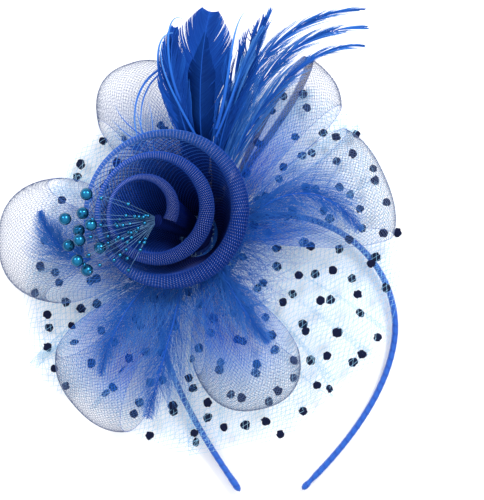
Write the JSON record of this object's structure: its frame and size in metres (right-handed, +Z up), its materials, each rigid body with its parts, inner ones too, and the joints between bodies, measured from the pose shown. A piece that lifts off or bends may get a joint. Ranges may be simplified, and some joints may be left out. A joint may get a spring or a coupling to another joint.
{
  "type": "fascinator headband",
  "caption": "Crinoline flower fascinator with loop petals, dotted veil, feathers and pearl stamens on a slim satin-wrapped headband, lying face up.",
  "frame": {"origin": "centre of the bounding box at its base, on the surface that the fascinator lies on", "axes": "+Z up out of the flower's face, +Y from the band's tips towards its crown, +X to the right seen from above"},
  "size_m": [0.214, 0.2558, 0.0681],
  "materials": {
    "satin": "satin ribbon wound round the band",
    "felt": "pressed felt",
    "net": "fine diamond net with flocked dots",
    "crinoline": "sheer woven nylon ribbon",
    "feather": "dyed feather",
    "wire": "thin coated wire",
    "pearl": "pearl lacquer on a round bead"
  },
  "bodies": {
    "root": {"biot_1": "feather", "biot_2": "feather", "biot_3": "feather", "biot_4": "feather", "biot_5": "feather", "crest_feather": "feather", "end_wrap_left": "satin", "end_wrap_right": "satin", "felt_backing": "felt", "felt_pad": "felt", "hackle_1": "feather", "hackle_2": "feather", "hackle_3": "feather", "hackle_4": "feather", "hackle_5": "feather", "headband": "satin", "pearl_01": "pearl", "pearl_02": "pearl", "pearl_03": "pearl", "pearl_04": "pearl", "pearl_05": "pearl", "pearl_06": "pearl", "pearl_07": "pearl", "pearl_08": "pearl", "pearl_09": "pearl", "pearl_10": "pearl", "petal_1": "crinoline", "petal_2": "crinoline", "petal_3": "crinoline", "petal_4": "crinoline", "petal_5": "crinoline", "petal_6": "crinoline", "rosette": "crinoline", "stamen_bind": "felt", "stamen_wire_01": "wire", "stamen_wire_02": "wire", "stamen_wire_03": "wire", "stamen_wire_04": "wire", "stamen_wire_05": "wire", "stamen_wire_06": "wire", "stamen_wire_07": "wire", "stamen_wire_08": "wire", "stamen_wire_09": "wire", "stamen_wire_10": "wire", "veil_under": "net", "veil_upper": "net"}
  },
  "joints": []
}
